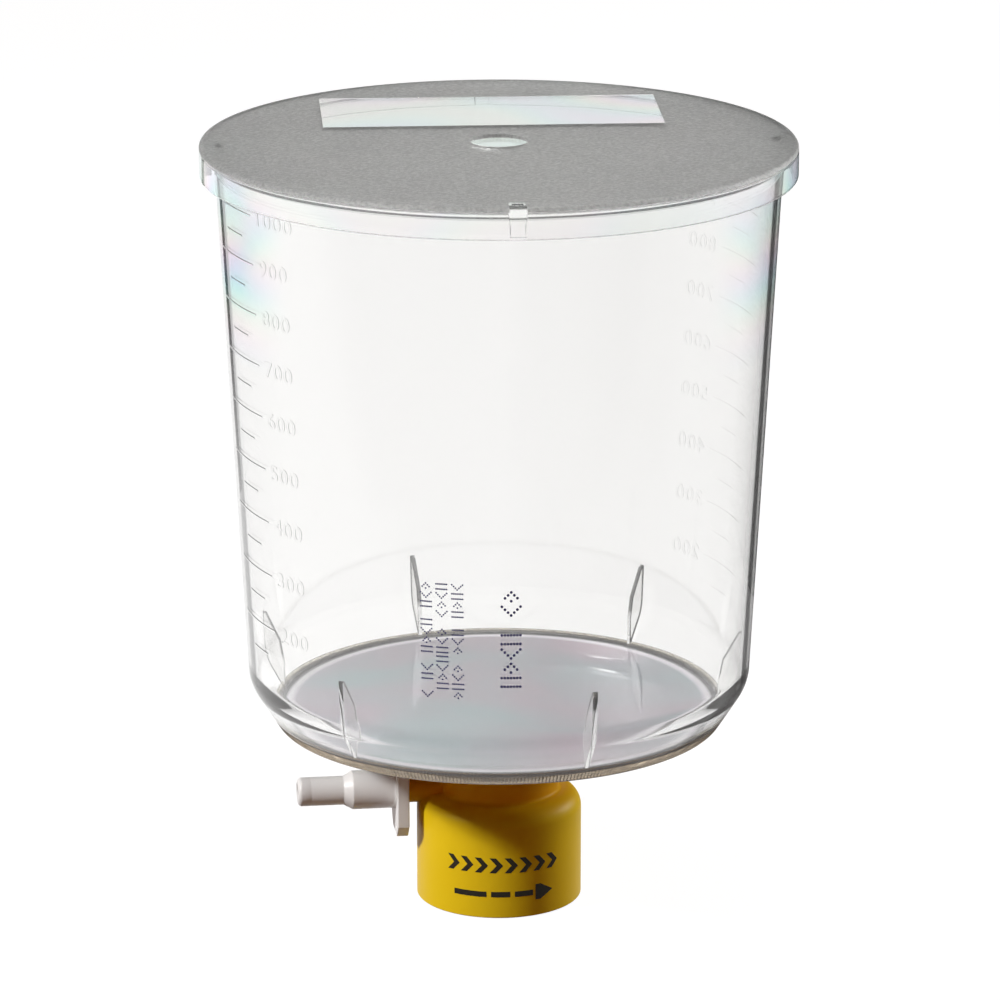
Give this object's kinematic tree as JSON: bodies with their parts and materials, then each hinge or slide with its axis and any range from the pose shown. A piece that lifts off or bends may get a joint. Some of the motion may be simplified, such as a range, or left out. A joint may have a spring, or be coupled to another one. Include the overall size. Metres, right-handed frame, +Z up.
{
  "type": "vacuum filtration unit",
  "caption": "Clear lidded funnel with a moulded volume scale over a flat filter membrane, on a screw collar for a bottle's neck with a side port and stepped hose connector.",
  "frame": {"origin": "centre of the screw collar's foot", "axes": "+Z up along the axis of the funnel and the bottle's neck; the side port and its hose connector point along -X"},
  "size_m": [0.1226, 0.1226, 0.163],
  "materials": {
    "lid": "clear polystyrene, fine matt stipple on top, polished skirt",
    "funnel": "clear polished polystyrene with raised scale",
    "membrane": "smooth porous cellulose acetate sheet",
    "support_plate": "clear polystyrene with a serrated rim",
    "neck_adapter": "semi-gloss yellow moulding",
    "bottle_seal": "soft white elastomer ring",
    "hose_connector": "satin white moulding",
    "plug_filter": "pressed white fibre"
  },
  "bodies": {
    "filter_body": {"funnel": "funnel", "membrane": "membrane", "support_plate": "support_plate", "neck_adapter": "neck_adapter", "bottle_seal": "bottle_seal", "hose_connector": "hose_connector", "plug_filter": "plug_filter"},
    "lid": {"lid": "lid"}
  },
  "joints": [
    {"name": "lid_lift", "type": "slide", "parent": "filter_body", "child": "lid", "axis": [0, 0, 1], "range_m": [0, 0.05]}
  ]
}
